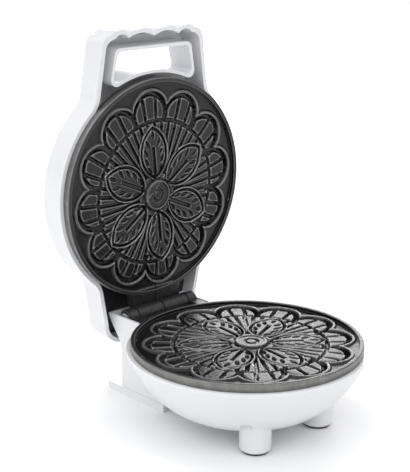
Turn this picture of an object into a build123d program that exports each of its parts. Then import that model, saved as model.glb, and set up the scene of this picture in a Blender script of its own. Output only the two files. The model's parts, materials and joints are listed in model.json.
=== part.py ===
from build123d import *
import math
import os

# Single-plate pizzelle maker, standing open. Millimetres, +Z up, +Y to the rear, +X to the right.
# The origin is on the table, under the middle of the whole open appliance.
# Heights of the base are given from the lower plate's rim plane, on the plane base_rim.
# Every lid piece is drawn as if the lid were shut, on the plane lid_rim, which leans with the lid.

os.makedirs("parts", exist_ok=True)

# ---------------------------------------------------------------- driving dimensions
PLATE_R = 60.0              # outer radius of both baking plates
SHELL_R = 62.0              # outer radius of both plastic shells at the plate
WALL = 2.2                  # thickness of the moulded plastic
RIM_HEIGHT = 44.8           # lower plate's rim above the table
PLATE_EDGE = 4.2            # plate side wall that stands clear of the shell
PLATE_GAP = 1.0             # air between the two rims when shut
HINGE_BACK = 68.4           # hinge axis behind the plate centre
HINGE_DROP = 1.9            # hinge axis below the lower rim plane
OPEN_ANGLE = 88.4           # lid angle from shut
FIT = 0.1                   # assembly gap between neighbouring pieces of one body

LID_DEPTH = 17.5            # outer depth of the lid shell, from its rim to its back
REAR_LEAN = 0.6             # how much the open lid's lean adds to its reach to the rear
LID_BACK = 3.4              # back wall of the lid shell, with the seat for the cover
BACK_ROUND = 3.0            # rounding where the lid's wall turns into its back
DRAFT = 4.0                 # degrees of mould draft on the lid's wall
COVER_R, COVER_THICK = 54.0, 1.6
COVER_OPENING_R = 30.0      # hole in the lid shell under the cover
GUARD_AT, GUARD_THICK, GUARD_GAP = 12.0, 1.0, 0.8       # dark guard across the hollow of the hinge cover
LENS_R, LENS_AT = 3.6, 12.0                 # indicator lens, and its way from the cover's middle
LAMP_R, LAMP_LENGTH = 2.6, 2.4

HANDLE_TOP = 86.0           # crest of the scalloped grip, ahead of the plate centre
HANDLE_VALLEY = 83.8        # valley between two scallops
HANDLE_HALF_TOP = 34.6      # half width of the handle at its front
HANDLE_HALF_ROOT = 39.5     # half width where it leaves the round shell
HANDLE_ROOT = 44.0          # where its sides start inside the round shell, off the plate centre
BLEND = 12.0                # hollow blend of handle and hinge cover into the round lid
CORNER = 6.0                # rounding of the handle's two front corners
SCALLOP_PITCH = 17.2        # valley to valley
WINDOW_TOP = 75.0           # front edge of the hand opening
WINDOW_BOTTOM = 63.8        # its rear edge, on the middle line
WINDOW_HALF_TOP = 24.2
WINDOW_HALF_ROOT = 28.4
WINDOW_ROUND = 3.0
WINDOW_WALL = 1.8

TAB_END = 84.8              # rear end of the lid's hinge cover, behind the plate centre
TAB_HALF_ROOT = 38.2
TAB_HALF_END = 32.6
TAB_ROUND = 12.0

BOWL_STRAIGHT = 6.0         # upright part of the bowl, below the rim plane
BOWL_STEEP, BOWL_TURN = 3.0, 14.0           # first handle of the bowl's curve
BOWL_SWEEP = 18.0                           # second handle, outwards from the flat
BOWL_BOTTOM = 36.6          # bowl bottom below the rim plane
BOWL_FLAT_R = 28.0          # flat middle of the bowl's underside
BLOCK_HALF = 27.0           # half width of the base's rear block
BLOCK_BLEND = 8.0           # hollow rounding between the block's sides and the bowl
BLOCK_TOP = 0.5             # block top below the rim plane
BLOCK_LIP = 80.0            # rear end of the block's flared top
BLOCK_NECK = 69.0           # back face of the block under the lip
LIP_SWEEP, LIP_DROP, NECK_TOP = 6.0, 12.0, 21.0         # hollow under the lip
SLOT_HALF, SLOT_DEPTH, SLOT_END = 25.6, 8.5, 77.6
FOOT_HALF, FOOT_FRONT, FOOT_END = 27.6, 34.0, 83.4
FOOT_THICK, FOOT_ROUND = 4.2, 6.0
LEG_X, LEG_Y = 22.8, 29.4   # two front legs
LEG_R_BOTTOM, LEG_ROUND, LEG_TAPER = 8.0, 1.1, 1.0      # the taper in degrees
PAD_R, PAD_THICK, PAD_SINK = 6.9, 2.4, 1.2
BOTTOM_R, BOTTOM_THICK, BOTTOM_LEDGE = 27.0, 1.6, 4.2
BOTTOM_OPENING_R, BOTTOM_SCREWS, BOTTOM_SCREW_RING, BOTTOM_SCREW_R = 20.0, 3, 23.6, 1.2
CORD_X, CORD_Z = 12.0, -29.5                # cord opening, in the back of the neck
BUSHING_R, BUSHING_LIP, CORD_BORE_R = 5.0, 1.4, 3.4

SPIGOT_R = 58.6             # part of each casting that sits inside its shell
CASTING_BACK = 7.6          # back of each casting, from its rim
FIELD_R, FIELD_DEPTH = 57.4, 2.0
UPPER_BORDER, UPPER_HEART = (0.0, 0.3), (1.3, 4.2)      # centres of the scalloped border and of the
LOWER_BORDER, LOWER_HEART = (-0.8, -0.8), (-1.2, -2.0)  # petals, along each rim plane's own x and y
UPPER_TURN, LOWER_TURN = -6.5, 6.5          # flower's turn, in degrees, seen from each plate's back
LOBES, PETALS = 12, 6
LOBE_RING, LOBE_R = 41.8, 13.7              # scalloped rib that bounds the biscuit
RIB_WIDTH, RIB_HEIGHT = 1.8, 0.5
MOAT_WIDTH, MOAT_DEPTH = 2.2, 0.9           # groove inside the rib
PETAL_TIP, PETAL_ROOT, PETAL_HALF = 38.5, 9.0, 9.4
LEAF_WIDTH, LEAF_DEPTH = 1.4, 0.8           # groove round each petal
VEIN_START, VEIN_END = 10.0, 27.0
HUB_R, HUB_HEIGHT = 8.4, 1.0
LIP_ROUND = 0.7                             # rounding of the plate's outer edge

BARREL_R = 4.9              # hinge knuckles
ARM_START = 56.0                            # arm of a knuckle, from the plate centre
ARM_TOP = 0.5                               # arm's face behind the plate's rim
ARM_WAIST = 0.8                             # arm's back at the barrel, as a share of the barrel's radius
PIN_R = 2.0
PIN_CLEAR = 0.05            # radial running clearance of the lid's knuckles on the pin
LUG_CLEAR = 0.02            # radial clearance of the pin in the base lugs
KNUCKLE_END = 17.8          # outer end of the two lid knuckles
KNUCKLE_GAP = 0.4
LUG_END = 24.2              # outer end of the base lugs
PIN_HEAD_R, PIN_HEAD = 3.0, 0.9
CLIP_R, CLIP_THICK = 3.4, 0.6

HEATER_RING, HEATER_R = 36.0, 3.2
HEATER_ARC = 300.0          # degrees of ring that the heater covers
UPPER_REFLECTOR_R, LOWER_REFLECTOR_R = 55.0, 52.4
REFLECTOR_THICK, REFLECTOR_AT = 0.8, 14.8
REFLECTOR_HOLE_R = 22.0
BOSS_RING, BOSS_R, BOSS_END = 47.0, 4.0, 16.4
BOSS_COUNT, BOSS_TURN = 4, 45.0
SCREW_R, SCREW_HEAD_R, SCREW_HEAD = 1.5, 2.8, 1.4
CROSS_LENGTH, CROSS_WIDTH = 3.6, 0.75       # driving slots
SCREW_CLEAR = 0.1
SCREW_TIP = 9.6             # screw ends this deep behind the plate rim
BASE_SCREW_HEAD = 19.5      # screw heads in the base, from the plate rim

STAT_X, STAT_R, STAT_THICK = 10.0, 8.0, 5.0
BLADE_WIDTH, BLADE_THICK, BLADE_AT = 4.8, 0.8, 4.8
FUSE_X, FUSE_R, FUSE_LENGTH = -10.0, 2.0, 11.0
TERMINAL_Y, TERMINAL_LENGTH, TERMINAL_WIDTH, TERMINAL_HEIGHT = 52.0, 30.0, 14.0, 10.0
TERMINAL_SCREW_R = 1.8
FUSE_CLIP_WIDTH = 5.0
PIN_END = 17.2              # heater's cold ends stop here, from the plate rim
LEAD_R, LEAD_BEND = 0.9, 3.0
LEAD_START, LID_LEAD = 18.4, 17.0
TERMINAL_FRONT = TERMINAL_Y - TERMINAL_WIDTH / 2 - 1.0

# ---------------------------------------------------------------- frames
lid_drop = HINGE_DROP + PLATE_GAP       # lid rim plane above the hinge axis when shut
rear_of_lid = HINGE_BACK + lid_drop + PLATE_EDGE + LID_DEPTH + REAR_LEAN
PLATE_Y = -(rear_of_lid - SHELL_R) / 2  # puts the origin under the middle of the open appliance
lean = math.radians(OPEN_ANGLE)
hinge_y, hinge_z = PLATE_Y + HINGE_BACK, RIM_HEIGHT - HINGE_DROP
base_rim = Plane((0, PLATE_Y, RIM_HEIGHT))
lid_rim = Plane(
    origin=(0,
            hinge_y - HINGE_BACK * math.cos(lean) + lid_drop * math.sin(lean),
            hinge_z + HINGE_BACK * math.sin(lean) + lid_drop * math.cos(lean)),
    x_dir=(1, 0, 0),
    z_dir=(0, math.sin(lean), math.cos(lean)),
)
# the lower plate's depths run downwards, as the upper plate's run up into the lid
sole_rim = Plane(origin=(0, PLATE_Y, RIM_HEIGHT), x_dir=(-1, 0, 0), z_dir=(0, 0, -1))
TABLE = -RIM_HEIGHT


def across(rim, x):
    """Plane square to the hinge axis, x to the right: its own x runs rearwards and its y up."""
    return Plane(origin=rim.from_local_coords((x, 0, 0)), x_dir=rim.y_dir, z_dir=rim.x_dir)


pieces = []


def save(piece, name):
    pieces.append(piece)
    piece.part.label = name
    export_step(piece.part, f"parts/{name}.step")
    print(name, len(piece.part.solids()), "solids", round(piece.part.volume), "mm3")


def ring_places(radius, count, start):
    """Points on a ring, the first one start degrees round from the sketch's own x."""
    turns = [math.radians(start + 360 * i / count) for i in range(count)]
    return [(radius * math.cos(turn), radius * math.sin(turn)) for turn in turns]


boss_places = ring_places(BOSS_RING, BOSS_COUNT, BOSS_TURN)


# ---------------------------------------------------------------- outlines of the lid
def handle_outline(grow=0.0):
    """Scalloped grip outline; grow moves every side outwards."""
    top, root = HANDLE_HALF_TOP + grow, HANDLE_HALF_ROOT + grow
    valley, crest = -HANDLE_VALLEY - grow, -HANDLE_TOP - grow
    edge, shoulder = top - CORNER, valley + CORNER
    inset = CORNER * (1 - math.sin(math.pi / 4))
    with BuildSketch() as outline:
        with BuildLine():
            Polyline((-top, shoulder), (-root, -HANDLE_ROOT), (root, -HANDLE_ROOT), (top, shoulder))
            for side in (-1, 1):
                ThreePointArc((side * top, shoulder), (side * (top - inset), valley + inset),
                              (side * edge, valley))
                ThreePointArc((side * edge, valley), (side * (edge + SCALLOP_PITCH) / 2, crest),
                              (side * SCALLOP_PITCH, valley))
                ThreePointArc((side * SCALLOP_PITCH, valley), (side * SCALLOP_PITCH / 2, crest),
                              (0, valley))
        make_face()
    return outline.sketch


def tab_outline(grow=0.0):
    """Hinge cover behind the round lid, narrowing to a rounded end."""
    root, end = TAB_HALF_ROOT + grow, TAB_HALF_END + grow
    last, turn = TAB_END + grow, TAB_ROUND + grow
    inset = turn * (1 - math.sin(math.pi / 4))
    with BuildSketch() as outline:
        with BuildLine():
            Polyline((end, last - turn), (root, HANDLE_ROOT), (-root, HANDLE_ROOT), (-end, last - turn))
            ThreePointArc((-end, last - turn), (-end + inset, last - inset), (-end + turn, last))
            Line((-end + turn, last), (end - turn, last))
            ThreePointArc((end - turn, last), (end - inset, last - inset), (end, last - turn))
        make_face()
    return outline.sketch


def window_outline(grow=0.0):
    """Hand opening; its rear edge follows the round shell."""
    top, root = WINDOW_HALF_TOP + grow, WINDOW_HALF_ROOT + grow
    front, radius = -WINDOW_TOP - grow, WINDOW_BOTTOM - grow
    side = -math.sqrt(radius ** 2 - root ** 2)
    with BuildSketch() as outline:
        with BuildLine():
            Polyline((root, side), (top, front), (-top, front), (-root, side))
            ThreePointArc((-root, side), (0, -radius), (root, side))
        make_face()
        fillet(outline.vertices(), WINDOW_ROUND + grow / 2)
    return outline.sketch


def lid_outline(grow=0.0):
    """Whole outline of the lid: round body, grip and hinge cover."""
    with BuildSketch() as outline:
        Circle(SHELL_R + grow)
        add(handle_outline(grow))
        add(tab_outline(grow))
        crotches = outline.vertices().filter_by(
            lambda corner: HANDLE_ROOT - CORNER / 2 < abs(corner.Y) < HANDLE_ROOT + 2 * CORNER)
        fillet(crotches, BLEND - grow)
    return outline.sketch


# ---------------------------------------------------------------- lid shell and its cover
outer_lid, inner_lid = lid_outline(), lid_outline(-WALL)
window_hole, window_wall = window_outline(), window_outline(WINDOW_WALL)
lid_up = Axis(lid_rim.origin, lid_rim.z_dir)
LID_END = PLATE_EDGE + LID_DEPTH            # outer back of the lid, from the plate's rim
LID_FLOOR = LID_END - LID_BACK              # inner side of the lid's back wall
COVER_SEAT = LID_END - COVER_THICK
with BuildPart() as lid_shell:
    with BuildSketch(lid_rim.offset(PLATE_EDGE + FIT)):
        add(outer_lid)
    extrude(amount=LID_DEPTH - FIT, taper=DRAFT)
    fillet(lid_shell.faces().sort_by(lid_up)[-1].edges(), BACK_ROUND)
    with BuildSketch(lid_rim.offset(PLATE_EDGE)):
        add(inner_lid)
    extrude(amount=LID_FLOOR - PLATE_EDGE, taper=DRAFT, mode=Mode.SUBTRACT)
    with BuildSketch(lid_rim.offset(PLATE_EDGE + FIT)):
        add(window_wall)
    extrude(amount=LID_FLOOR - PLATE_EDGE)
    with BuildSketch(lid_rim.offset(PLATE_EDGE)):
        add(window_hole)
    extrude(amount=LID_DEPTH + FIT, mode=Mode.SUBTRACT)
    with BuildSketch(lid_rim.offset(PLATE_EDGE)):
        Circle(SPIGOT_R + FIT)
    extrude(amount=CASTING_BACK - PLATE_EDGE + FIT, mode=Mode.SUBTRACT)
    with BuildSketch(lid_rim.offset(COVER_SEAT)):
        Circle(COVER_R + FIT)
    extrude(amount=COVER_THICK + FIT, mode=Mode.SUBTRACT)
    with BuildSketch(lid_rim.offset(LID_FLOOR)):
        Circle(COVER_OPENING_R)
    extrude(amount=LID_BACK, mode=Mode.SUBTRACT)
    with BuildSketch(lid_rim.offset(BOSS_END + FIT)):
        with Locations(boss_places):
            Circle(BOSS_R)
    extrude(amount=LID_FLOOR - BOSS_END)
    with BuildSketch(lid_rim.offset(BOSS_END)):
        with Locations(boss_places):
            Circle(SCREW_R + SCREW_CLEAR)
    extrude(amount=LID_BACK + LID_FLOOR - BOSS_END, mode=Mode.SUBTRACT)
    with BuildSketch(lid_rim.offset(COVER_SEAT - SCREW_HEAD - SCREW_CLEAR)):
        with Locations(boss_places):
            Circle(SCREW_HEAD_R + SCREW_CLEAR)
    extrude(amount=SCREW_HEAD + COVER_THICK, mode=Mode.SUBTRACT)
save(lid_shell, "lid_shell")

with BuildPart() as hinge_guard:
    with BuildSketch(lid_rim.offset(GUARD_AT)):
        add(tab_outline(-WALL - GUARD_GAP))
        Circle(SPIGOT_R + 4 * FIT, mode=Mode.SUBTRACT)
    extrude(amount=GUARD_THICK)
save(hinge_guard, "hinge_guard")

with BuildPart() as lid_cover:
    with BuildSketch(lid_rim.offset(COVER_SEAT)):
        Circle(COVER_R - FIT)
        with Locations((0, LENS_AT)):
            Circle(LENS_R + FIT, mode=Mode.SUBTRACT)
    extrude(amount=COVER_THICK - FIT)
    fillet(lid_cover.edges().filter_by(GeomType.CIRCLE).sort_by(SortBy.RADIUS)[-1], COVER_THICK / 3)
save(lid_cover, "lid_cover")

with BuildPart() as indicator_lens:
    with BuildSketch(lid_rim.offset(COVER_SEAT - 2 * COVER_THICK)):
        with Locations((0, LENS_AT)):
            Circle(LENS_R)
    extrude(amount=2 * COVER_THICK + COVER_THICK / 3)
    fillet(indicator_lens.faces().sort_by(lid_up)[-1].edges(), COVER_THICK / 3)
save(indicator_lens, "indicator_lens")

with BuildPart() as neon_lamp:
    with BuildSketch(lid_rim.offset(COVER_SEAT - 2 * COVER_THICK - LAMP_LENGTH - FIT)):
        with Locations((0, LENS_AT)):
            Circle(LAMP_R)
    extrude(amount=LAMP_LENGTH)
save(neon_lamp, "neon_lamp")


# ---------------------------------------------------------------- castings
def flower_face(inset=0.0):
    """Outline of the biscuit: a ring of lobes, joined in the middle."""
    with BuildSketch() as face:
        with PolarLocations(LOBE_RING, LOBES):
            Circle(LOBE_R - inset)
        Circle(LOBE_RING)
    return face.sketch


def leaf_face(inset=0.0):
    """One pointed petal along +X, from the hub to its tip."""
    root, tip, half = PETAL_ROOT + 2 * inset, PETAL_TIP - 2 * inset, PETAL_HALF - inset
    middle = (root + tip) / 2
    with BuildSketch() as face:
        with BuildLine():
            ThreePointArc((root, 0), (middle, half), (tip, 0))
            ThreePointArc((tip, 0), (middle, -half), (root, 0))
        make_face()
    return face.sketch


def band(outer, inner):
    """Sketch of what lies between two outlines."""
    with BuildSketch() as face:
        add(outer)
        add(inner, mode=Mode.SUBTRACT)
    return face.sketch


def petal_grooves():
    """Outline and middle vein of every petal."""
    with BuildSketch() as face:
        with PolarLocations(0, PETALS, start_angle=-90):
            add(leaf_band)
        with PolarLocations((VEIN_START + VEIN_END) / 2, PETALS, start_angle=-90):
            Rectangle(VEIN_END - VEIN_START, LEAF_WIDTH)
    return face.sketch


rib = band(flower_face(), flower_face(RIB_WIDTH))
moat = band(flower_face(RIB_WIDTH), flower_face(RIB_WIDTH + MOAT_WIDTH))
leaf_band = band(leaf_face(), leaf_face(LEAF_WIDTH))
grooves = petal_grooves()


def casting(rim, border_at, heart_at, turn, knuckle_depth, knuckles, bore):
    """Baking plate on the plane rim, depths into its shell, with hinge knuckles at given places."""
    barrel = (HINGE_BACK, knuckle_depth)
    border, heart = Location((*border_at, 0), (0, 0, turn)), Location((*heart_at, 0), (0, 0, turn))
    arm = [(ARM_START, PLATE_EDGE), (ARM_START, ARM_TOP), (HINGE_BACK, ARM_TOP),
           (HINGE_BACK, knuckle_depth + BARREL_R * ARM_WAIST), (SHELL_R + 2 * FIT, PLATE_EDGE)]
    with BuildPart() as plate:
        with BuildSketch(rim):
            Circle(PLATE_R)
        extrude(amount=PLATE_EDGE)
        fillet(plate.edges().group_by(Axis(rim.origin, rim.z_dir))[0], LIP_ROUND)
        with BuildSketch(rim.offset(PLATE_EDGE)):
            Circle(SPIGOT_R)
        extrude(amount=CASTING_BACK - PLATE_EDGE)
        with BuildSketch(rim.offset(CASTING_BACK)):
            with Locations(boss_places):
                Circle(BOSS_R)
        extrude(amount=BOSS_END - CASTING_BACK)
        with BuildSketch(rim):
            Circle(FIELD_R)
        extrude(amount=FIELD_DEPTH, mode=Mode.SUBTRACT)
        # the flower: a raised rib and hub, and grooves sunk into the field
        with BuildSketch(rim.offset(FIELD_DEPTH - RIB_HEIGHT)):
            with Locations(border):
                add(rib)
        extrude(amount=RIB_HEIGHT + FIT)
        with BuildSketch(rim.offset(FIELD_DEPTH - HUB_HEIGHT)):
            with Locations(heart):
                Circle(HUB_R)
        extrude(amount=HUB_HEIGHT + FIT)
        with BuildSketch(rim.offset(FIELD_DEPTH)):
            with Locations(border):
                add(moat)
        extrude(amount=MOAT_DEPTH, mode=Mode.SUBTRACT)
        with BuildSketch(rim.offset(FIELD_DEPTH)):
            with Locations(heart):
                add(grooves)
        extrude(amount=LEAF_DEPTH, mode=Mode.SUBTRACT)
        for low, high in knuckles:
            with BuildSketch(across(rim, low)):
                with BuildLine():
                    Polyline(arm, close=True)
                make_face()
                with Locations(barrel):
                    Circle(BARREL_R)
            extrude(amount=high - low)
        with BuildSketch(across(rim, -LUG_END)):
            with Locations(barrel):
                Circle(bore)
        extrude(amount=2 * LUG_END, mode=Mode.SUBTRACT)
        with BuildSketch(rim.offset(SCREW_TIP - SCREW_CLEAR)):
            with Locations(boss_places):
                Circle(SCREW_R + SCREW_CLEAR)
        extrude(amount=BOSS_END, mode=Mode.SUBTRACT)
    return plate


lid_knuckles = [(-KNUCKLE_END, -KNUCKLE_GAP / 2), (KNUCKLE_GAP / 2, KNUCKLE_END)]
base_lugs = [(-LUG_END, -KNUCKLE_END - KNUCKLE_GAP), (KNUCKLE_END + KNUCKLE_GAP, LUG_END)]
upper_plate = casting(lid_rim, UPPER_BORDER, UPPER_HEART, UPPER_TURN, -lid_drop, lid_knuckles,
                      PIN_R + PIN_CLEAR)
lower_plate = casting(sole_rim, LOWER_BORDER, LOWER_HEART, LOWER_TURN, HINGE_DROP, base_lugs,
                      PIN_R + LUG_CLEAR)
save(upper_plate, "upper_plate")
save(lower_plate, "lower_plate")


# ---------------------------------------------------------------- heaters, shields and screws
def heater(rim):
    """Tubular element bent to an open ring, its two cold ends turned away from the plate."""
    centre = CASTING_BACK + FIT + HEATER_R
    with BuildPart() as ring:
        start = Plane(origin=rim.from_local_coords((HEATER_RING, 0, centre)), x_dir=rim.x_dir,
                      z_dir=-rim.y_dir)
        with BuildSketch(start):
            Circle(HEATER_R)
        revolve(axis=Axis(rim.origin, rim.z_dir), revolution_arc=HEATER_ARC)
        with BuildSketch(rim.offset(centre)):
            with PolarLocations(HEATER_RING, 2, start_angle=0, angular_range=HEATER_ARC, endpoint=True):
                Circle(HEATER_R / 2)
        extrude(amount=PIN_END - centre)
    return ring


def shield(rim, radius):
    """Thin round reflector behind the heater, with a turned edge and holes for what passes through."""
    with BuildPart() as sheet:
        with BuildSketch(rim.offset(REFLECTOR_AT)):
            Circle(radius)
        extrude(amount=REFLECTOR_THICK)
        with BuildSketch(rim.offset(REFLECTOR_AT - 2 * REFLECTOR_THICK)):
            Circle(radius)
            Circle(radius - REFLECTOR_THICK, mode=Mode.SUBTRACT)
        extrude(amount=3 * REFLECTOR_THICK)
        with BuildSketch(rim.offset(REFLECTOR_AT)):
            Circle(REFLECTOR_HOLE_R)
            with Locations(boss_places):
                Circle(BOSS_R + 3 * FIT)
            with PolarLocations(HEATER_RING, 2, start_angle=0, angular_range=HEATER_ARC, endpoint=True):
                Circle(HEATER_R)
        extrude(amount=REFLECTOR_THICK, mode=Mode.SUBTRACT)
    return sheet


def screws(rim, head_at, tip_at, places):
    """Cross-slot screws, heads seated at head_at and shanks running back to tip_at along the plane's axis."""
    with BuildPart() as group:
        with BuildSketch(rim.offset(head_at)):
            with Locations(places):
                Circle(SCREW_HEAD_R)
        extrude(amount=SCREW_HEAD)
        with BuildSketch(rim.offset(tip_at)):
            with Locations(places):
                Circle(SCREW_R)
        extrude(amount=head_at - tip_at)
        with BuildSketch(rim.offset(head_at + SCREW_HEAD / 2)):
            with Locations(places):
                Rectangle(CROSS_LENGTH, CROSS_WIDTH)
                Rectangle(CROSS_WIDTH, CROSS_LENGTH)
        extrude(amount=SCREW_HEAD, mode=Mode.SUBTRACT)
    return group


save(heater(lid_rim), "upper_heater")
save(heater(sole_rim), "lower_heater")
save(shield(lid_rim, UPPER_REFLECTOR_R), "upper_reflector")
save(shield(sole_rim, LOWER_REFLECTOR_R), "lower_reflector")
save(screws(lid_rim, COVER_SEAT - SCREW_HEAD - SCREW_CLEAR, SCREW_TIP, boss_places), "upper_plate_screws")
save(screws(sole_rim, BASE_SCREW_HEAD, SCREW_TIP, boss_places), "lower_plate_screws")


# ---------------------------------------------------------------- base shell
def bowl_side(inset=0.0):
    """Half section of the bowl for turning, in radius and height below the rim plane."""
    rim_r, flat_r, bottom = SHELL_R - inset, BOWL_FLAT_R, -BOWL_BOTTOM + inset
    top = -PLATE_EDGE - FIT + inset
    with BuildSketch() as half:
        with BuildLine():
            Polyline((flat_r, bottom), (0, bottom), (0, top), (rim_r, top), (rim_r, -BOWL_STRAIGHT))
            Bezier((rim_r, -BOWL_STRAIGHT), (rim_r - BOWL_STEEP, -BOWL_TURN + inset),
                   (flat_r + BOWL_SWEEP, bottom), (flat_r, bottom))
        make_face()
    return half.sketch


def block_side():
    """Side view of the rear block, in distance behind the plate centre and height."""
    with BuildSketch() as side:
        with BuildLine():
            Polyline((BLOCK_NECK, -NECK_TOP), (BLOCK_NECK, TABLE), (FOOT_FRONT, TABLE),
                     (FOOT_FRONT, -BLOCK_TOP), (BLOCK_LIP - BLOCK_TOP, -BLOCK_TOP),
                     (BLOCK_LIP, -2 * BLOCK_TOP))
            Bezier((BLOCK_LIP, -2 * BLOCK_TOP), (BLOCK_LIP - LIP_SWEEP, -LIP_DROP),
                   (BLOCK_NECK, -LIP_DROP), (BLOCK_NECK, -NECK_TOP))
        make_face()
    return side.sketch


outer_bowl, inner_bowl, outer_block = bowl_side(), bowl_side(WALL), block_side()
turning = Plane(origin=base_rim.origin, x_dir=(1, 0, 0), z_dir=(0, -1, 0))
upright = Axis(base_rim.origin, (0, 0, 1))
leg_places = [(-LEG_X, -LEG_Y), (LEG_X, -LEG_Y)]
bottom_screw_places = ring_places(BOTTOM_SCREW_RING, BOTTOM_SCREWS, 90)
LEG_SOLE = TABLE + PAD_THICK - PAD_SINK
BLOCK_CEILING = -SLOT_DEPTH - WALL
cord_way = Plane(origin=base_rim.from_local_coords((CORD_X, BLOCK_NECK, CORD_Z)),
                 x_dir=(1, 0, 0), z_dir=(0, -1, 0))
with BuildPart() as posts:
    with BuildSketch(turning):
        add(outer_bowl)
    revolve(axis=upright)
    with BuildSketch(sole_rim.offset(BOSS_END + FIT)):
        with Locations(boss_places):
            Circle(BOSS_R)
    extrude(amount=BOWL_BOTTOM, mode=Mode.INTERSECT)

with BuildPart() as base_shell:
    with BuildSketch(turning):
        add(outer_bowl)
    revolve(axis=upright)
    with BuildSketch(across(base_rim, -BLOCK_HALF)):
        add(outer_block)
    extrude(amount=2 * BLOCK_HALF)
    # the block's two sides run smoothly into the bowl
    seams = base_shell.edges().filter_by(GeomType.BSPLINE).filter_by(
        lambda edge: abs(abs(edge.center().X) - BLOCK_HALF) < FIT)
    fillet(seams, BLOCK_BLEND)
    with BuildSketch(base_rim.offset(TABLE)):
        with Locations((0, (FOOT_FRONT + FOOT_END) / 2)):
            foot = Rectangle(2 * FOOT_HALF, FOOT_END - FOOT_FRONT)
        fillet(foot.vertices().group_by(Axis.Y)[-1], FOOT_ROUND)
    extrude(amount=FOOT_THICK)
    with BuildSketch(base_rim.offset(LEG_SOLE)):
        with Locations(leg_places):
            Circle(LEG_R_BOTTOM)
    extrude(amount=RIM_HEIGHT / 2, taper=-LEG_TAPER)
    fillet(base_shell.edges().filter_by(GeomType.CIRCLE).filter_by(
        lambda edge: abs(edge.center().Z - (PAD_THICK - PAD_SINK)) < FIT and edge.radius < BOWL_FLAT_R),
        LEG_ROUND)
    with BuildSketch(base_rim.offset(LEG_SOLE)):
        with Locations(leg_places):
            Circle(PAD_R + FIT)
    extrude(amount=PAD_SINK, mode=Mode.SUBTRACT)
    # room for the plate, the hinge knuckles and the swing of the lid's arm
    with BuildSketch(base_rim.offset(-PLATE_EDGE)):
        Circle(PLATE_R + 4 * FIT)
        with Locations((0, SHELL_R - SLOT_HALF / 2)):
            Rectangle(2 * SLOT_HALF, SLOT_HALF)
    extrude(amount=RIM_HEIGHT, mode=Mode.SUBTRACT)
    with BuildSketch(base_rim.offset(-SLOT_DEPTH)):
        with Locations((0, (SHELL_R + SLOT_END) / 2)):
            Rectangle(2 * SLOT_HALF, SLOT_END - SHELL_R)
    extrude(amount=RIM_HEIGHT, mode=Mode.SUBTRACT)
    # hollow inside: the bowl and the block open into each other
    with BuildSketch(turning):
        add(inner_bowl)
    revolve(axis=upright, mode=Mode.SUBTRACT)
    with BuildSketch(base_rim.offset(TABLE + WALL)):
        with Locations((0, (FOOT_FRONT + BLOCK_NECK) / 2)):
            Rectangle(2 * (BLOCK_HALF - WALL), BLOCK_NECK - FOOT_FRONT - 2 * WALL)
    extrude(amount=BLOCK_CEILING - TABLE - WALL, mode=Mode.SUBTRACT)
    # posts for the plate screws, bored from below
    add(posts.part)
    with BuildSketch(sole_rim.offset(BOSS_END)):
        with Locations(boss_places):
            Circle(SCREW_R + SCREW_CLEAR)
    extrude(amount=BOWL_BOTTOM, mode=Mode.SUBTRACT)
    with BuildSketch(sole_rim.offset(BASE_SCREW_HEAD)):
        with Locations(boss_places):
            Circle(SCREW_HEAD_R + SCREW_CLEAR)
    extrude(amount=BOWL_BOTTOM, mode=Mode.SUBTRACT)
    # opening in the underside, its stiffened ledge and the seat of the bottom cover
    with BuildSketch(sole_rim.offset(BOWL_BOTTOM - BOTTOM_LEDGE)):
        Circle(BOWL_FLAT_R)
    extrude(amount=BOTTOM_LEDGE - BOTTOM_THICK)
    with BuildSketch(sole_rim.offset(BOWL_BOTTOM - BOTTOM_LEDGE)):
        Circle(BOTTOM_OPENING_R)
    extrude(amount=RIM_HEIGHT, mode=Mode.SUBTRACT)
    with BuildSketch(sole_rim.offset(BOWL_BOTTOM - BOTTOM_THICK)):
        Circle(BOTTOM_R + FIT)
    extrude(amount=RIM_HEIGHT, mode=Mode.SUBTRACT)
    with BuildSketch(sole_rim.offset(BOWL_BOTTOM - BOTTOM_LEDGE)):
        with Locations(bottom_screw_places):
            Circle(BOTTOM_SCREW_R + FIT)
    extrude(amount=BOTTOM_LEDGE, mode=Mode.SUBTRACT)
    # cord opening in the back of the neck
    with BuildSketch(cord_way):
        Circle(BUSHING_R + FIT)
    extrude(amount=WALL + FIT, both=True, mode=Mode.SUBTRACT)
save(base_shell, "base_shell")

with BuildPart() as bottom_cover:
    with BuildSketch(sole_rim.offset(BOWL_BOTTOM - BOTTOM_THICK + FIT)):
        Circle(BOTTOM_R)
        with Locations(bottom_screw_places):
            Circle(BOTTOM_SCREW_R + FIT, mode=Mode.SUBTRACT)
    extrude(amount=BOTTOM_THICK - FIT)
save(bottom_cover, "bottom_cover")

with BuildPart() as bottom_screws:
    with BuildSketch(sole_rim.offset(BOWL_BOTTOM)):
        with Locations(bottom_screw_places):
            Circle(BOTTOM_SCREW_R + BOTTOM_THICK / 2)
    extrude(amount=BOTTOM_SCREW_R)
    with BuildSketch(sole_rim.offset(BOWL_BOTTOM)):
        with Locations(bottom_screw_places):
            Circle(BOTTOM_SCREW_R)
    extrude(amount=-BOTTOM_LEDGE)
save(bottom_screws, "bottom_screws")

with BuildPart() as foot_pads:
    with BuildSketch(base_rim.offset(TABLE)):
        with Locations(leg_places):
            Circle(PAD_R)
    extrude(amount=PAD_THICK - FIT)
    fillet(foot_pads.faces().sort_by(Axis.Z)[0].edges() + foot_pads.faces().sort_by(Axis.Z)[1].edges(),
           PAD_THICK / 6)
save(foot_pads, "foot_pads")

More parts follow.
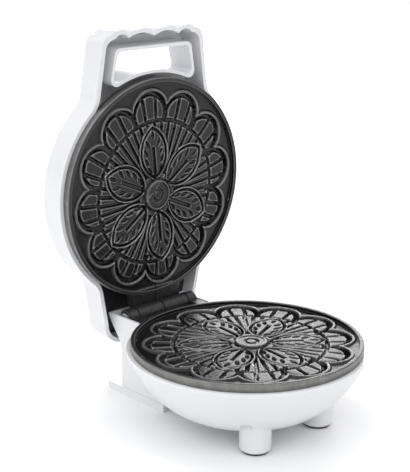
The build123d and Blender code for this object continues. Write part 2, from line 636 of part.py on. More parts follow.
with BuildPart() as cord_bushing:
    with BuildSketch(cord_way.offset(-BUSHING_LIP)):
        Circle(BUSHING_R + BUSHING_LIP)
    extrude(amount=BUSHING_LIP - FIT)
    with BuildSketch(cord_way.offset(-FIT)):
        Circle(BUSHING_R)
    extrude(amount=WALL + BUSHING_LIP)
    with BuildSketch(cord_way.offset(-BUSHING_LIP)):
        Circle(CORD_BORE_R)
    extrude(amount=WALL + 3 * BUSHING_LIP, mode=Mode.SUBTRACT)
save(cord_bushing, "cord_bushing")


# ---------------------------------------------------------------- hinge pin and its clip
with BuildPart() as hinge_pin:
    with BuildSketch(across(base_rim, -LUG_END - PIN_HEAD)):
        with Locations((HINGE_BACK, -HINGE_DROP)):
            Circle(PIN_HEAD_R)
    extrude(amount=PIN_HEAD - FIT)
    with BuildSketch(across(base_rim, -LUG_END - PIN_HEAD)):
        with Locations((HINGE_BACK, -HINGE_DROP)):
            Circle(PIN_R)
    extrude(amount=2 * LUG_END + 2 * PIN_HEAD + CLIP_THICK - FIT)
    with BuildSketch(across(base_rim, LUG_END + FIT)):
        with Locations((HINGE_BACK, -HINGE_DROP)):
            Circle(PIN_R)
            Circle(PIN_R - CLIP_THICK, mode=Mode.SUBTRACT)
    extrude(amount=CLIP_THICK, mode=Mode.SUBTRACT)
save(hinge_pin, "hinge_pin")

with BuildPart() as pin_clip:
    with BuildSketch(across(base_rim, LUG_END + FIT + FIT / 4)):
        with Locations((HINGE_BACK, -HINGE_DROP)):
            Circle(CLIP_R)
            Circle(PIN_R - CLIP_THICK + FIT / 2, mode=Mode.SUBTRACT)
        with Locations((HINGE_BACK, -HINGE_DROP - CLIP_R)):
            Rectangle(2 * (PIN_R - CLIP_THICK), 2 * CLIP_R, mode=Mode.SUBTRACT)
    extrude(amount=CLIP_THICK - FIT / 2)
save(pin_clip, "pin_clip")


# ---------------------------------------------------------------- what switches and protects the heaters
STAT_TOP = CASTING_BACK + FIT
with BuildPart() as thermostat:
    with BuildSketch(sole_rim.offset(STAT_TOP)):
        with Locations((STAT_X, 0)):
            Circle(STAT_R)
    extrude(amount=STAT_THICK)
    with BuildSketch(sole_rim.offset(STAT_TOP + STAT_THICK)):
        with Locations((STAT_X, -BLADE_AT), (STAT_X, BLADE_AT)):
            Rectangle(BLADE_WIDTH, BLADE_THICK)
    extrude(amount=BLADE_WIDTH)
save(thermostat, "thermostat")

with BuildPart() as thermal_fuse:
    fuse_axis = Plane(origin=sole_rim.from_local_coords((FUSE_X, -FUSE_LENGTH / 2, STAT_TOP + FUSE_R)),
                      x_dir=(1, 0, 0), z_dir=(0, 1, 0))
    with BuildSketch(fuse_axis):
        Circle(FUSE_R)
    extrude(amount=FUSE_LENGTH)
    with BuildSketch(fuse_axis.offset(-FUSE_LENGTH / 2)):
        Circle(FUSE_R / 4)
    extrude(amount=2 * FUSE_LENGTH)
save(thermal_fuse, "thermal_fuse")

saddle = Plane(origin=sole_rim.from_local_coords((FUSE_X, FUSE_CLIP_WIDTH / 2, STAT_TOP)),
               x_dir=sole_rim.x_dir, z_dir=-sole_rim.y_dir)
with BuildPart() as fuse_clip:
    with BuildSketch(saddle):
        with Locations((0, FUSE_R)):
            Circle(FUSE_R + FIT + BLADE_THICK)
        with Locations((0, BLADE_THICK / 2)):
            Rectangle(5 * FUSE_R, BLADE_THICK)
        with Locations((0, FUSE_R)):
            Circle(FUSE_R + FIT, mode=Mode.SUBTRACT)
        with Locations((0, -FUSE_R)):
            Rectangle(6 * FUSE_R, 2 * FUSE_R, mode=Mode.SUBTRACT)
    extrude(amount=FUSE_CLIP_WIDTH)
save(fuse_clip, "fuse_clip")

BLOCK_FLOOR = TABLE + WALL + FIT
with BuildPart() as terminal_block:
    with BuildSketch(base_rim.offset(BLOCK_FLOOR)):
        with Locations((0, TERMINAL_Y)):
            Rectangle(TERMINAL_LENGTH, TERMINAL_WIDTH)
    extrude(amount=TERMINAL_HEIGHT)
    with BuildSketch(base_rim.offset(BLOCK_FLOOR + TERMINAL_HEIGHT)):
        with Locations((0, TERMINAL_Y)):
            with GridLocations(TERMINAL_LENGTH / 3, TERMINAL_WIDTH / 2, 3, 2):
                Circle(TERMINAL_SCREW_R + FIT)
    extrude(amount=-TERMINAL_HEIGHT / 2, mode=Mode.SUBTRACT)
save(terminal_block, "terminal_block")

with BuildPart() as terminal_screws:
    with BuildSketch(base_rim.offset(BLOCK_FLOOR + TERMINAL_HEIGHT / 2 + FIT)):
        with Locations((0, TERMINAL_Y)):
            with GridLocations(TERMINAL_LENGTH / 3, TERMINAL_WIDTH / 2, 3, 2):
                Circle(TERMINAL_SCREW_R)
    extrude(amount=TERMINAL_HEIGHT / 3)
save(terminal_screws, "terminal_screws")


# ---------------------------------------------------------------- inner wiring
def lead(name, rim, points):
    """Heat-resistant lead along points given in the frame of a rim plane."""
    path = [rim.from_local_coords(point) for point in points]
    with BuildPart() as wire:
        with BuildLine() as route:
            FilletPolyline(path, radius=LEAD_BEND)
        with BuildSketch(Plane(origin=route.line @ 0, z_dir=route.line % 0)):
            Circle(LEAD_R)
        sweep(path=route.line)
    save(wire, name)


lead("heater_lead_live", sole_rim,
     [(HEATER_RING, 0, LEAD_START), (33, 6, 24), (22, 28, 27), (10, 38, 31), (10, TERMINAL_FRONT, 36)])
lead("heater_lead_neutral", sole_rim,
     [(18, -31.2, LEAD_START), (12, -24, 26), (2, 4, 27), (0, 30, 29), (0, 39, 32), (0, TERMINAL_FRONT, 37)])
lead("lid_lead_live", lid_rim,
     [(33, 2, LID_LEAD), (30, 16, LID_LEAD), (21, 40, LID_LEAD), (14, 57, LID_LEAD)])
lead("lid_lead_neutral", lid_rim,
     [(16, -28, LID_LEAD), (2, -8, LID_LEAD), (-13, 20, LID_LEAD), (-14, 57, LID_LEAD)])
everything = Compound(children=[piece.part for piece in pieces])
box = everything.bounding_box()
print("whole size", box.size, "from", box.min, "to", box.max)
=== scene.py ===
# %% [markdown]
# # A small pizzelle maker, standing open
# A pizzelle maker bakes one thin, flower-patterned biscuit between two cast plates. The lid stands
# open on its hinge, so both plates show. The CAD model already holds every size and every joint,
# so this script only adds what the eye wants: real relief in the castings, and finishes that
# look like moulded plastic, non-stick coating, rubber and steel.

# %% The fixed frame
import json
import math

import bmesh
import bpy
import numpy as np
from mathutils import Matrix, Vector


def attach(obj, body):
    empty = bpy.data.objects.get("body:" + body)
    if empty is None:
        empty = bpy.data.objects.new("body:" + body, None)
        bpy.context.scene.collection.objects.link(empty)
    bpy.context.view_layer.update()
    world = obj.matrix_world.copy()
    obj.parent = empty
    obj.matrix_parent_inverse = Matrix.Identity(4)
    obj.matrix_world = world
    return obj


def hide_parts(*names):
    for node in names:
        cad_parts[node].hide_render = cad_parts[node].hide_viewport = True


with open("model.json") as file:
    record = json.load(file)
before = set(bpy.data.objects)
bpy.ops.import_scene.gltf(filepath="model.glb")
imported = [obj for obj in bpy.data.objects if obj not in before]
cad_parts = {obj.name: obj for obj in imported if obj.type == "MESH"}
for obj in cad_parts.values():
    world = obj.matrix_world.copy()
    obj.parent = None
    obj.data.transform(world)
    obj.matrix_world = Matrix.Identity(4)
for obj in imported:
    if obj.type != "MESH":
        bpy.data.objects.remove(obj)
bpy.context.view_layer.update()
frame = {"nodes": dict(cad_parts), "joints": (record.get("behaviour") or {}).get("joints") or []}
MM = 0.001

# %% [markdown]
# ## Where things are
# Both plates are described the same way: a plane through the rim, with x along the hinge, y
# towards the hinge and depth running into the shell behind the plate. One description then
# serves the lower plate, which faces up, and the upper plate, which leans back with the lid.
# The hinge axis comes from the joint in the record, so the planes follow the model.

# %% The two rim planes
HINGE_BACK, HINGE_DROP, PLATE_GAP = 68.4, 1.9, 1.0       # millimetres, as in the CAD source
hinge = frame["joints"][0]
hinge_at = Vector(hinge["pos_m"])
lean = math.radians(hinge["range_deg"][1])


def rim_plane(origin, across, towards_hinge, depth):
    """Matrix that takes millimetres on a plate's rim plane to metres in the room."""
    turn = Matrix((across, towards_hinge, depth)).transposed().to_4x4()
    return Matrix.Translation(origin) @ turn @ Matrix.Scale(MM, 4)


base_origin = hinge_at + Vector((0, -HINGE_BACK, HINGE_DROP)) * MM
lid_back = Vector((0, math.sin(lean), math.cos(lean)))
lid_down = Vector((0, math.cos(lean), -math.sin(lean)))
lid_origin = hinge_at + (lid_back * (HINGE_DROP + PLATE_GAP) - lid_down * HINGE_BACK) * MM
lower_rim = rim_plane(base_origin, (-1, 0, 0), (0, 1, 0), (0, 0, -1))
upper_rim = rim_plane(lid_origin, (1, 0, 0), lid_down, lid_back)
print("lid leans back", round(math.degrees(lean), 1), "degrees")

# %% [markdown]
# ## Camera
# The camera looks slightly down on the open appliance from its front left corner. A long lens
# keeps the two round plates from stretching. Its axes are built from the direction it looks
# back along, with a touch of roll, and set as one matrix.

# %% Camera
LOOK_AT = Vector((-0.09678, -0.08664, 0.13372))
AROUND, ABOVE, ROLL = math.radians(-43.26), math.radians(16.21), math.radians(0.38)
DISTANCE, FOCAL_LENGTH = 0.47281, 90.56
back = Vector((math.sin(AROUND) * math.cos(ABOVE), -math.cos(AROUND) * math.cos(ABOVE), math.sin(ABOVE)))
level = Vector((math.cos(AROUND), math.sin(AROUND), 0))
lens = bpy.data.cameras.new("camera")
lens.lens = FOCAL_LENGTH
camera = bpy.data.objects.new("camera", lens)
bpy.context.collection.objects.link(camera)
upward = back.cross(level)
right = level * math.cos(ROLL) + upward * math.sin(ROLL)
camera.matrix_world = (Matrix.Translation(LOOK_AT + back * DISTANCE)
                       @ Matrix((right, back.cross(right), back)).transposed().to_4x4())
bpy.context.scene.camera = camera
print("camera at", [round(v, 3) for v in camera.location])

# %% [markdown]
# ## Soft studio light
# White plastic needs light from everywhere, and black castings need something bright to
# reflect. A pale room gives the first. A large softbox behind and to the right gives the
# second: seen at a low angle, the lower plate mirrors it, except where the lid stands in the
# way. Two small, strong softboxes put glints on the ridges of the castings, and are too small to
# light the plastic much. A very wide, soft sun from above lights the floor evenly all the way back.


# %% Room and softboxes
def softbox(name, towards, distance, width, height, radiance, tint=(1, 1, 1)):
    """Rectangular light that faces the appliance, as bright as radiance all over."""
    lamp = bpy.data.lights.new(name, "AREA")
    lamp.shape, lamp.size, lamp.size_y = "RECTANGLE", width, height
    lamp.energy = radiance * math.pi * width * height
    lamp.color = tint
    thing = bpy.data.objects.new(name, lamp)
    thing.location = Vector(towards).normalized() * distance
    thing.rotation_euler = Vector(towards).to_track_quat("Z", "Y").to_euler()
    thing.visible_camera = False
    bpy.context.collection.objects.link(thing)


ROOM = 0.50
world = bpy.data.worlds.new("room")
bpy.context.scene.world = world
world.use_nodes = True
world.node_tree.nodes["Background"].inputs["Color"].default_value = (0.97, 0.98, 1, 1)
world.node_tree.nodes["Background"].inputs["Strength"].default_value = ROOM
softbox("back_softbox", (0.9, 0.72, 0.40), 1.6, 1.0, 0.6, 4.2, (1, 0.98, 0.945))
overhead = bpy.data.lights.new("overhead", "SUN")
overhead.energy, overhead.angle = 1.98, math.radians(120)
overhead_lamp = bpy.data.objects.new("overhead", overhead)
overhead_lamp.rotation_euler = (math.radians(8), math.radians(-14), 0)
bpy.context.collection.objects.link(overhead_lamp)
softbox("left_softbox", (-1, 0.15, 0.3), 1.6, 0.9, 1.2, 0.9)
softbox("front_glint", (0.35, -0.8, 0.55), 1.8, 0.3, 0.3, 5.0)
softbox("top_glint", (0.0, 0.25, 1), 1.8, 0.4, 0.4, 5.0)
bpy.context.scene.view_settings.view_transform = "Standard"
print("lights", len(bpy.data.lights))

# %% Floor
FLOOR_HALF = 40.0
floor_mesh = bpy.data.meshes.new("floor")
floor_mesh.from_pydata([(-FLOOR_HALF, -FLOOR_HALF, 0), (FLOOR_HALF, -FLOOR_HALF, 0),
                        (FLOOR_HALF, FLOOR_HALF, 0), (-FLOOR_HALF, FLOOR_HALF, 0)], [], [(0, 1, 2, 3)])
floor = bpy.data.objects.new("floor", floor_mesh)
bpy.context.collection.objects.link(floor)
print("floor", 2 * FLOOR_HALF, "m wide")

# %% [markdown]
# ## Finishes
# Every finish here is the same recipe with different sizes: a slow noise that shifts the colour,
# a medium one that varies the gloss, and a fine one that raises grain. Object coordinates are
# in metres and stay with the piece when the lid swings, so a grain of 0.3 mm is written as 0.3 mm.
# Along sharp ridges the coating is painted a lighter, more metallic colour, a painted highlight that
# stands in for the glints of light on the ridges. Pointiness says how sharp the mesh is at each place, so
# the painted highlight follows the relief by itself.


# %% One recipe for all finishes
RIDGE_HIGHLIGHT_FROM, RIDGE_HIGHLIGHT_TO = 0.515, 0.56          # how sharp an edge is before the painted highlight on it begins
RIDGE_HIGHLIGHT_METAL = 0.7                          # how metallic the painted highlight is on the sharpest ridges


def finish(name, colour, other, patch, rough, grain, depth, metallic=0.0, stretch=(1, 1, 1), ridge_highlight=None,
           **sockets):
    """Two colours in patches, a range of roughness, and grain; sizes are in millimetres."""
    made = bpy.data.materials.new(name)
    made.use_nodes = True
    nodes, links = made.node_tree.nodes, made.node_tree.links
    shader = nodes["Principled BSDF"]
    where = nodes.new("ShaderNodeTexCoord")
    scale = nodes.new("ShaderNodeMapping")
    scale.inputs["Scale"].default_value = stretch
    links.new(where.outputs["Object"], scale.inputs["Vector"])

    def noise(size, detail=3.0):
        node = nodes.new("ShaderNodeTexNoise")
        node.inputs["Scale"].default_value = 1 / (size * MM)
        node.inputs["Detail"].default_value = detail
        links.new(scale.outputs["Vector"], node.inputs["Vector"])
        return node.outputs["Fac"]

    blend = nodes.new("ShaderNodeMix")
    blend.data_type = "RGBA"
    contrast = nodes.new("ShaderNodeMapRange")
    contrast.inputs["From Min"].default_value = 0.35
    contrast.inputs["From Max"].default_value = 0.65
    links.new(noise(patch), contrast.inputs["Value"])
    links.new(contrast.outputs["Result"], blend.inputs[0])
    blend.inputs[6].default_value, blend.inputs[7].default_value = (*colour, 1), (*other, 1)
    links.new(blend.outputs[2], shader.inputs["Base Color"])
    gloss = nodes.new("ShaderNodeMapRange")
    gloss.inputs["From Min"].default_value, gloss.inputs["From Max"].default_value = 0.3, 0.7
    gloss.inputs["To Min"].default_value, gloss.inputs["To Max"].default_value = rough
    links.new(noise(patch / 4), gloss.inputs["Value"])
    links.new(gloss.outputs["Result"], shader.inputs["Roughness"])
    bump = nodes.new("ShaderNodeBump")
    bump.inputs["Distance"].default_value = depth * MM
    links.new(noise(grain, 2.0), bump.inputs["Height"])
    links.new(bump.outputs["Normal"], shader.inputs["Normal"])
    shader.inputs["Metallic"].default_value = metallic
    # Sharp ridges get a painted highlight: a lighter colour and more metal, growing with pointiness.
    if ridge_highlight:
        edge = nodes.new("ShaderNodeMapRange")
        edge.inputs["From Min"].default_value, edge.inputs["From Max"].default_value = RIDGE_HIGHLIGHT_FROM, RIDGE_HIGHLIGHT_TO
        links.new(nodes.new("ShaderNodeNewGeometry").outputs["Pointiness"], edge.inputs["Value"])
        highlight_mix = nodes.new("ShaderNodeMix")
        highlight_mix.data_type = "RGBA"
        links.new(edge.outputs["Result"], highlight_mix.inputs[0])
        links.new(blend.outputs[2], highlight_mix.inputs[6])
        highlight_mix.inputs[7].default_value = (*ridge_highlight, 1)
        links.new(highlight_mix.outputs[2], shader.inputs["Base Color"])
        shine = nodes.new("ShaderNodeMath")
        shine.operation = "MULTIPLY"
        shine.inputs[1].default_value = RIDGE_HIGHLIGHT_METAL
        links.new(edge.outputs["Result"], shine.inputs[0])
        links.new(shine.outputs[0], shader.inputs["Metallic"])
    for socket, value in sockets.items():
        shader.inputs[socket.replace("_", " ")].default_value = value
    return made


# %% Finishes of the pieces that show
white_plastic = finish("white_plastic", (0.76, 0.766, 0.79), (0.73, 0.736, 0.76), 60, (0.16, 0.24),
                       0.9, 0.004, IOR=1.5)
# The coating's sharp ridges carry a painted highlight in this lighter grey.
nonstick = finish("nonstick_coating", (0.003, 0.003, 0.004), (0.009, 0.009, 0.009), 3.0, (0.13, 0.24),
                  0.6, 0.17, ridge_highlight=(0.30, 0.30, 0.31), IOR=1.40)
plain_coating = finish("plain_coating", (0.008, 0.008, 0.009), (0.026, 0.026, 0.028), 1.2, (0.22, 0.36),
                       0.6, 0.2, IOR=1.5)
dark_plastic = finish("dark_plastic", (0.012, 0.012, 0.013), (0.020, 0.020, 0.021), 5.0, (0.35, 0.5),
                      0.5, 0.02)
bare_edge = finish("burnished_edge", (0.24, 0.235, 0.225), (0.18, 0.178, 0.172), 4.0, (0.28, 0.42),
                   0.5, 0.05, metallic=0.75)
pad_rubber = finish("pad_rubber", (0.035, 0.035, 0.036), (0.06, 0.06, 0.06), 2.0, (0.6, 0.8),
                    0.4, 0.03)
steel = finish("zinc_steel", (0.60, 0.60, 0.61), (0.48, 0.48, 0.50), 1.5, (0.22, 0.42),
               0.3, 0.01, metallic=1.0)
pale_floor = finish("pale_floor", (0.93, 0.93, 0.93), (0.92, 0.92, 0.92), 300, (0.85, 0.95),
                    2.0, 0.01)
floor_mesh.materials.append(pale_floor)
print("outer finishes", len(bpy.data.materials))

# %% Finishes of the pieces inside
sheath = finish("heater_sheath", (0.20, 0.18, 0.16), (0.30, 0.27, 0.23), 6.0, (0.35, 0.6),
                0.5, 0.02, metallic=0.9)
mill_sheet = finish("mill_sheet", (0.74, 0.74, 0.75), (0.66, 0.66, 0.68), 8.0, (0.25, 0.4),
                    0.4, 0.01, metallic=1.0, stretch=(1, 8, 8))
phenolic = finish("phenolic", (0.06, 0.04, 0.03), (0.10, 0.07, 0.05), 2.0, (0.45, 0.6), 0.4, 0.02)
terminal_plastic = finish("terminal_plastic", (0.72, 0.70, 0.64), (0.66, 0.64, 0.57), 5.0, (0.4, 0.55),
                          0.5, 0.01)
brass = finish("terminal_brass", (0.70, 0.50, 0.20), (0.58, 0.40, 0.16), 1.5, (0.25, 0.45),
               0.3, 0.01, metallic=1.0)
braid = finish("lead_braid", (0.70, 0.66, 0.55), (0.52, 0.49, 0.40), 0.8, (0.7, 0.9), 0.35, 0.12)
lens_plastic = finish("lens_plastic", (0.60, 0.08, 0.03), (0.48, 0.05, 0.02), 3.0, (0.12, 0.2),
                      0.6, 0.005, Transmission_Weight=0.35)
lamp_glass = finish("lamp_glass", (0.92, 0.86, 0.80), (0.85, 0.78, 0.72), 2.0, (0.03, 0.08),
                    0.5, 0.003, Transmission_Weight=0.8)
print("all finishes", len(bpy.data.materials))

# %% Which piece wears which finish
DRESS = {
    white_plastic: ["base_shell", "lid_shell", "lid_cover", "bottom_cover"],
    pad_rubber: ["foot_pads", "cord_bushing"],
    steel: ["hinge_pin", "pin_clip", "bottom_screws", "lower_plate_screws", "upper_plate_screws",
            "thermal_fuse", "fuse_clip"],
    sheath: ["lower_heater", "upper_heater"],
    mill_sheet: ["lower_reflector", "upper_reflector"],
    phenolic: ["thermostat"],
    dark_plastic: ["hinge_guard"],
    terminal_plastic: ["terminal_block"],
    brass: ["terminal_screws"],
    braid: ["heater_lead_live", "heater_lead_neutral", "lid_lead_live", "lid_lead_neutral"],
    lens_plastic: ["indicator_lens"],
    lamp_glass: ["neon_lamp"],
}
for material, names in DRESS.items():
    for name in names:
        node = frame["nodes"][name]
        if not node.material_slots:
            node.data.materials.append(material)
        for place in node.material_slots:
            place.material = material
print("dressed", sum(len(names) for names in DRESS.values()), "CAD pieces")

# %% [markdown]
# ## The cast flower
# Both plates carry the same pattern: a scalloped rib with twelve lobes, a moat inside it, two
# rows of small cells split by narrow grooves, six leaves with a vein and drop-shaped pits, and
# a raised hub with a ring groove. Bump alone would leave the plate flat from the side, so the
# pattern is worked out as a height for each point, and the mesh is moved by it. Each feature is
# a distance turned into a soft-edged step, because a casting has no sharp corners. The petals
# sit a little off the border's centre, so the pattern is pulled over smoothly between the two.

# %% Sizes of the flower, in millimetres
PLATE_R = 60.0
LOBES, LOBE_RING, LOBE_R = 12, 41.8, 13.7
RIB_WIDTH, RIB_HEIGHT = 1.9, 1.0
MOAT_WIDTH, MOAT_DEPTH = 2.5, 2.0
CELL_RING, GROOVE_HALF, GROOVE_DEPTH = 39.6, 0.95, 1.7
OUTER_PITCH, INNER_PITCH = math.radians(10), math.radians(7.5)
LEAVES, LEAF_ROOT, LEAF_TIP, LEAF_HALF = 6, 9.0, 38.5, 9.4
VEIN_START, VEIN_END = 10.0, 27.0
LEAF_RIM, LEAF_RISE = 0.35, 0.2           # height of a leaf's edge line, and of its face
CELL_RISE, CELL_START = 0.12, 12.0        # height of the cells, and how far out they begin
PITS = [(14.5, 3.6), (19.5, 5.3), (24.5, 5.3), (29.2, 3.8), (33.5, 0.0)]    # along the leaf, off its vein
PIT_HALF_LENGTH, PIT_HALF_WIDTH, PIT_SLANT, PIT_DEPTH = 2.3, 1.0, math.radians(28), 1.3
HUB_R, HUB_HEIGHT = 8.4, 1.2
HUB_DISH_R, HUB_DISH_DEPTH = 6.9, 0.35
HUB_RING_IN, HUB_RING_OUT, HUB_RING_DEPTH = 2.4, 3.9, 0.7
HUB_MOAT_IN, HUB_MOAT_OUT, HUB_MOAT_DEPTH = 8.5, 9.6, 0.6
print("flower reaches", LOBE_RING + LOBE_R, "mm from its middle")


# %% Helpers for distances and soft steps
def step(distance, soft=0.34):
    """0 outside, 1 inside, with a rounded edge of the given half width."""
    t = np.clip((distance + soft) / (2 * soft), 0, 1)
    return t * t * (3 - 2 * t)


def folded(angle, pitch, start=0.0):
    """Angle from the nearest of the evenly spaced directions that begin at start."""
    return (angle - start + pitch / 2) % pitch - pitch / 2


def in_band(distance, low, high):
    """1 where a distance lies between low and high."""
    return step(distance - low) * step(high - distance)


# %% Height of the flower
def lobe_depth(r, angle):
    """How far inside the scalloped outline a point lies."""
    turn = folded(angle, 2 * math.pi / LOBES)
    lobe = LOBE_R - np.hypot(r * np.cos(turn) - LOBE_RING, r * np.sin(turn))
    return np.maximum(lobe, LOBE_RING - r)


def leaf_relief(along, off, height):
    """Adds one leaf to a height: an edge line, a groove inside it, a vein and the pits."""
    middle, half_length = (LEAF_ROOT + LEAF_TIP) / 2, (LEAF_TIP - LEAF_ROOT) / 2
    bow = (half_length ** 2 + LEAF_HALF ** 2) / (2 * LEAF_HALF)
    inside = bow - np.hypot(along - middle, np.abs(off) + bow - LEAF_HALF)
    leaf = step(inside + 0.9)
    height = height * (1 - leaf) + leaf * LEAF_RIM * in_band(inside, -1.3, 0.1)
    height = height - GROOVE_DEPTH * in_band(inside, 0.15, 1.45) + LEAF_RISE * step(inside - 1.6)
    vein = np.minimum(GROOVE_HALF + 0.1 - np.abs(off), np.minimum(along - VEIN_START, VEIN_END - along))
    height = height - GROOVE_DEPTH * step(vein)
    for at, beside in PITS:
        slant = PIT_SLANT if beside else 0.0
        side = np.abs(off) - beside if beside else off
        across = (along - at) * math.cos(slant) + side * math.sin(slant)
        upright = side * math.cos(slant) - (along - at) * math.sin(slant)
        drop = 1 - np.hypot(across / PIT_HALF_LENGTH, upright / PIT_HALF_WIDTH)
        height = height - PIT_DEPTH * step(drop * PIT_HALF_WIDTH)
    return height


def turned(x, y, centre, turn):
    """Distance and direction from a centre, in the flower's own turned frame."""
    return np.hypot(x - centre[0], y - centre[1]), np.arctan2(y - centre[1], x - centre[0]) - turn


def flower_relief(x, y, border_at, heart_at, turn):
    """Height of the casting above its field. The petals sit a little off the border's centre."""
    inside = lobe_depth(*turned(x, y, border_at, turn))
    pull = np.clip(1 - (np.hypot(x, y) / PLATE_R) ** 2, 0, 1)
    centre = [b + (h - b) * pull for b, h in zip(border_at, heart_at)]
    r, angle = turned(x, y, centre, turn)
    height = RIB_HEIGHT * in_band(inside, 0, RIB_WIDTH)
    height = height - MOAT_DEPTH * in_band(inside, RIB_WIDTH, RIB_WIDTH + MOAT_WIDTH)
    cells = step(inside - RIB_WIDTH - MOAT_WIDTH)
    outer = GROOVE_HALF - np.abs(r * np.sin(folded(angle, OUTER_PITCH, OUTER_PITCH / 2)))
    inner = GROOVE_HALF - np.abs(r * np.sin(folded(angle, INNER_PITCH, INNER_PITCH / 2)))
    spoke = np.where(r > CELL_RING, outer, inner)
    ring = GROOVE_HALF - np.abs(r - CELL_RING)
    grooves = np.maximum(step(spoke) * step(r - CELL_START), step(ring))
    height = height + cells * (CELL_RISE - GROOVE_DEPTH * grooves)
    r, angle = turned(x, y, heart_at, turn)
    petal = folded(angle, 2 * math.pi / LEAVES, -math.pi / 2)
    height = leaf_relief(r * np.cos(petal), r * np.sin(petal), height)
    hub = HUB_HEIGHT * step(HUB_R - r, 0.5) - HUB_DISH_DEPTH * step(HUB_DISH_R - r, 0.4)
    hub = hub - HUB_RING_DEPTH * in_band(r, HUB_RING_IN, HUB_RING_OUT)
    moat = HUB_MOAT_DEPTH * in_band(r, HUB_MOAT_IN, HUB_MOAT_OUT)
    return height * step(r - HUB_R) + hub - moat


reach = np.linspace(-LOBE_RING - LOBE_R, LOBE_RING + LOBE_R, 300)
sample = flower_relief(*np.meshgrid(reach, reach), (0, 0), (0, 0), 0)
print("relief from", round(float(sample.min()), 2), "to", round(float(sample.max()), 2), "mm")

# %% [markdown]
# ## The castings
# A casting is a disc with a rounded lip, a sunken field, a spigot that sits in the shell, four
# screw bosses behind, and the hinge's knuckles. The disc is a mesh of rings, so its rim is truly
# round, and only the rings of the field follow the flower. Rings are close enough that the
# narrow grooves keep their shape.

# %% Sizes of the castings, in millimetres
PLATE_EDGE, SPIGOT_R, CASTING_BACK = 4.2, 58.6, 7.6
FIELD_R, FIELD_DEPTH, LIP_ROUND = 57.4, 2.0, 0.7
BOSS_RING, BOSS_R, BOSS_END, BORE_R, BORE_END = 47.0, 4.0, 16.4, 1.6, 9.5
BARREL_R, ARM_START, ARM_TOP, ARM_WAIST = 4.9, 56.0, 0.5, 0.8
SHELL_R, KNUCKLE_END, LUG_END, KNUCKLE_GAP = 62.0, 17.8, 24.2, 0.4
SPOKES, RING_STEP, BOSS_SIDES = 600, 0.45, 32
SIDE_BAND, BEHIND = 0.25, FIELD_DEPTH + 2.5          # where a casting's side and back begin
print("rings on a field", int(FIELD_R / RING_STEP))


# %% Rings turned about the plate's middle
def ring_rows(profile, count):
    """Points of each ring; a profile point is a radius and a depth."""
    turns = np.linspace(0, 2 * math.pi, count, endpoint=False)
    return [np.stack([r * np.cos(turns), r * np.sin(turns), np.full(count, depth)], 1)
            for r, depth in profile]


def ring_faces(rows, count, first, closed):
    """Quads between neighbouring rings, and the two end caps."""
    quads = []
    for row in range(rows - 1):
        low, high = first + row * count, first + (row + 1) * count
        quads += [(low + i, low + (i + 1) % count, high + (i + 1) % count, high + i)
                  for i in range(count)]
    if closed:
        quads.append(tuple(first + i for i in reversed(range(count))))
        quads.append(tuple(first + (rows - 1) * count + i for i in range(count)))
    return quads


def lip_profile():
    """Rim from the field's edge over the rounded lip and down to the back, as radius and depth."""
    soft = [math.pi / 2 * i / 4 for i in range(5)]
    inner = [(FIELD_R + 0.25 - 0.25 * math.cos(a), FIELD_DEPTH - 0.25 * math.sin(a)) for a in soft]
    top_in = [(FIELD_R + 0.75 - 0.5 * math.cos(a), 0.5 - 0.5 * math.sin(a)) for a in soft]
    top_out = [(PLATE_R - LIP_ROUND + LIP_ROUND * math.sin(a), LIP_ROUND - LIP_ROUND * math.cos(a))
               for a in soft]
    side = [(PLATE_R, PLATE_EDGE - 0.15), (PLATE_R - 0.15, PLATE_EDGE), (SPIGOT_R + 0.1, PLATE_EDGE),
            (SPIGOT_R, PLATE_EDGE + 0.1), (SPIGOT_R, CASTING_BACK - 0.2), (SPIGOT_R - 0.2, CASTING_BACK)]
    return inner + top_in + top_out + side


# %% One knuckle of the hinge
def knuckle(target, low, high, depth, bore):
    """Adds an arm with its bored barrel, from low to high along the hinge."""
    centre = Vector((HINGE_BACK, depth))
    arm = [Vector(p) for p in [(SHELL_R + 0.2, PLATE_EDGE), (ARM_START, PLATE_EDGE), (ARM_START, ARM_TOP)]]
    start = -math.pi + math.asin(min((depth - ARM_TOP) / BARREL_R, ARM_WAIST))
    sweep = np.linspace(start, math.pi - math.asin(ARM_WAIST), 33)
    outline = arm + [centre + BARREL_R * Vector((math.cos(a), math.sin(a))) for a in sweep]
    hole = [centre + bore * Vector((math.cos(a), math.sin(a)))
            for a in np.linspace(0, 2 * math.pi, 25)[:-1]]
    shape = bmesh.new()
    edges = []
    for loop in (outline, hole):
        corners = [shape.verts.new((low, p.x, p.y)) for p in loop]
        edges += [shape.edges.new((a, b)) for a, b in zip(corners, corners[1:] + corners[:1])]
    faces = bmesh.ops.triangle_fill(shape, edges=edges, use_beauty=True)["geom"]
    faces = [f for f in faces if isinstance(f, bmesh.types.BMFace)]
    moved = bmesh.ops.extrude_face_region(shape, geom=faces)["geom"]
    far_end = [v for v in moved if isinstance(v, bmesh.types.BMVert)]
    bmesh.ops.translate(shape, verts=far_end, vec=(high - low, 0, 0))
    bmesh.ops.recalc_face_normals(shape, faces=shape.faces)
    sharp = [e for e in shape.edges if e.is_manifold and e.calc_face_angle() > math.radians(50)
             and e.calc_length() > 0]
    bmesh.ops.bevel(shape, geom=sharp, offset=0.3, segments=2, affect="EDGES", clamp_overlap=True)
    part = bpy.data.meshes.new("knuckle")
    shape.to_mesh(part)
    shape.free()
    target.from_mesh(part)
    bpy.data.meshes.remove(part)


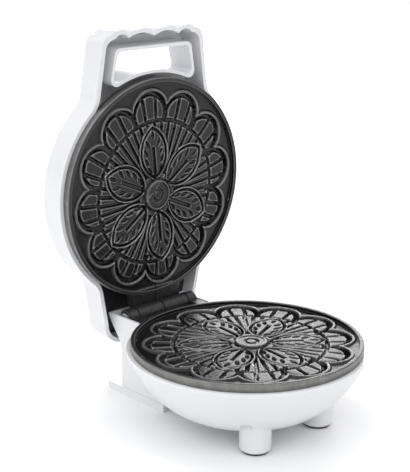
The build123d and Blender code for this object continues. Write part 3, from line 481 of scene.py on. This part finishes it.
# %% One screw boss
def boss(target, corner):
    """Adds a bored boss behind the plate, at one of its four corners."""
    a = math.radians(45 + 90 * corner)
    at = (BOSS_RING * math.cos(a), BOSS_RING * math.sin(a), 0)
    profile = [(BORE_R, BORE_END), (BORE_R, BOSS_END - 0.2), (BORE_R + 0.2, BOSS_END),
               (BOSS_R - 0.3, BOSS_END), (BOSS_R, BOSS_END - 0.3), (BOSS_R, CASTING_BACK + 0.01),
               (BOSS_R + 0.4, CASTING_BACK - 0.3)]
    points = np.concatenate(ring_rows(profile, BOSS_SIDES)) + np.array(at)
    part = bpy.data.meshes.new("boss")
    part.from_pydata([tuple(p) for p in points], [], ring_faces(len(profile), BOSS_SIDES, 0, True))
    target.from_mesh(part)
    bpy.data.meshes.remove(part)


# %% Which finish each face of a casting wears
def coat(mesh):
    """Coating with a painted highlight on its ridges on the field, bare metal on the turned side, plain
    coating behind.
    """
    for material in (nonstick, bare_edge, plain_coating):
        mesh.materials.append(material)
    for face in mesh.polygons:
        out, down = math.hypot(face.center.x, face.center.y), face.center.z
        on_side = PLATE_R - SIDE_BAND < out < PLATE_R and 0 < down < PLATE_EDGE
        face.material_index = 1 if on_side else 2 if out > PLATE_R or down > BEHIND else 0


# %% A whole casting
def casting(name, rim, border_at, heart_at, turn, depth, knuckles, bore):
    """Closed mesh of one baking plate with its bosses and knuckles, placed on a rim plane."""
    radii = np.arange(RING_STEP, FIELD_R, RING_STEP)
    field = ring_rows([(r, 0.0) for r in radii], SPOKES)
    rows = field + ring_rows(lip_profile(), SPOKES)
    points = np.concatenate(rows)
    on_field = len(field) * SPOKES
    points[:on_field, 2] = FIELD_DEPTH - flower_relief(
        points[:on_field, 0], points[:on_field, 1], border_at, heart_at, turn)
    faces = ring_faces(len(rows), SPOKES, 0, True)
    made = bmesh.new()
    mesh = bpy.data.meshes.new(name)
    mesh.from_pydata([tuple(p) for p in points], [], faces)
    made.from_mesh(mesh)
    for corner in range(4):
        boss(made, corner)
    for low, high in knuckles:
        knuckle(made, low, high, depth, bore)
    bmesh.ops.recalc_face_normals(made, faces=made.faces)
    made.to_mesh(mesh)
    made.free()
    coat(mesh)
    mesh.transform(rim)
    if rim.determinant() < 0:
        mesh.flip_normals()
    mesh.polygons.foreach_set("use_smooth", [True] * len(mesh.polygons))
    mesh.set_sharp_from_angle(angle=math.radians(55))
    plate = bpy.data.objects.new(name, mesh)
    bpy.context.collection.objects.link(plate)
    print(name, len(mesh.polygons), "faces")
    return plate


# %% Both plates
half_gap = KNUCKLE_GAP / 2
LOOSE_BORE, SNUG_BORE, FLOWER_TURN = 2.05, 2.02, math.radians(6.5)
upper = casting("upper_casting", upper_rim, (0, 0.3), (1.3, 4.2), -FLOWER_TURN,
                -(HINGE_DROP + PLATE_GAP), [(-KNUCKLE_END, -half_gap), (half_gap, KNUCKLE_END)],
                LOOSE_BORE)
lower = casting("lower_casting", lower_rim, (-0.8, -0.8), (-1.2, -2.0), FLOWER_TURN, HINGE_DROP,
                [(-LUG_END, -KNUCKLE_END - KNUCKLE_GAP), (KNUCKLE_END + KNUCKLE_GAP, LUG_END)],
                SNUG_BORE)
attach(upper, "lid")
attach(lower, "base")
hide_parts("upper_plate")
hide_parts("lower_plate")
